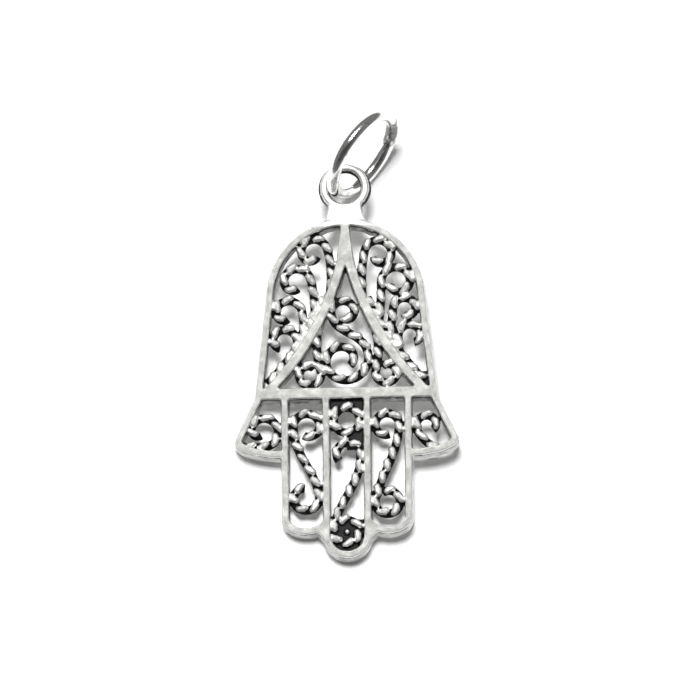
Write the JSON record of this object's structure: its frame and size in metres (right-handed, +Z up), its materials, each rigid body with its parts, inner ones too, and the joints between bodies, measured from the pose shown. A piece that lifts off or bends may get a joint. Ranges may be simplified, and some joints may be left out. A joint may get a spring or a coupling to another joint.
{
  "type": "hamsa pendant",
  "caption": "Openwork cast silver hamsa hand pendant with twisted-wire scrolls in its palm, fingers and thumbs, and a round jump ring through its eyelet.",
  "frame": {"origin": "on the surface it lies on, under the centre of the whole", "axes": "+X to the right of the hand, +Y from the fingertips to the jump ring, +Z up out of the hand's face"},
  "size_m": [0.015, 0.0308, 0.0069],
  "materials": {
    "cast_silver": "satin cast sterling silver, with dark oxidised recesses between the scrolls",
    "ring_silver": "polished sterling silver wire"
  },
  "bodies": {
    "root": {"hamsa_plate": "cast_silver", "jump_ring": "ring_silver"}
  },
  "joints": []
}
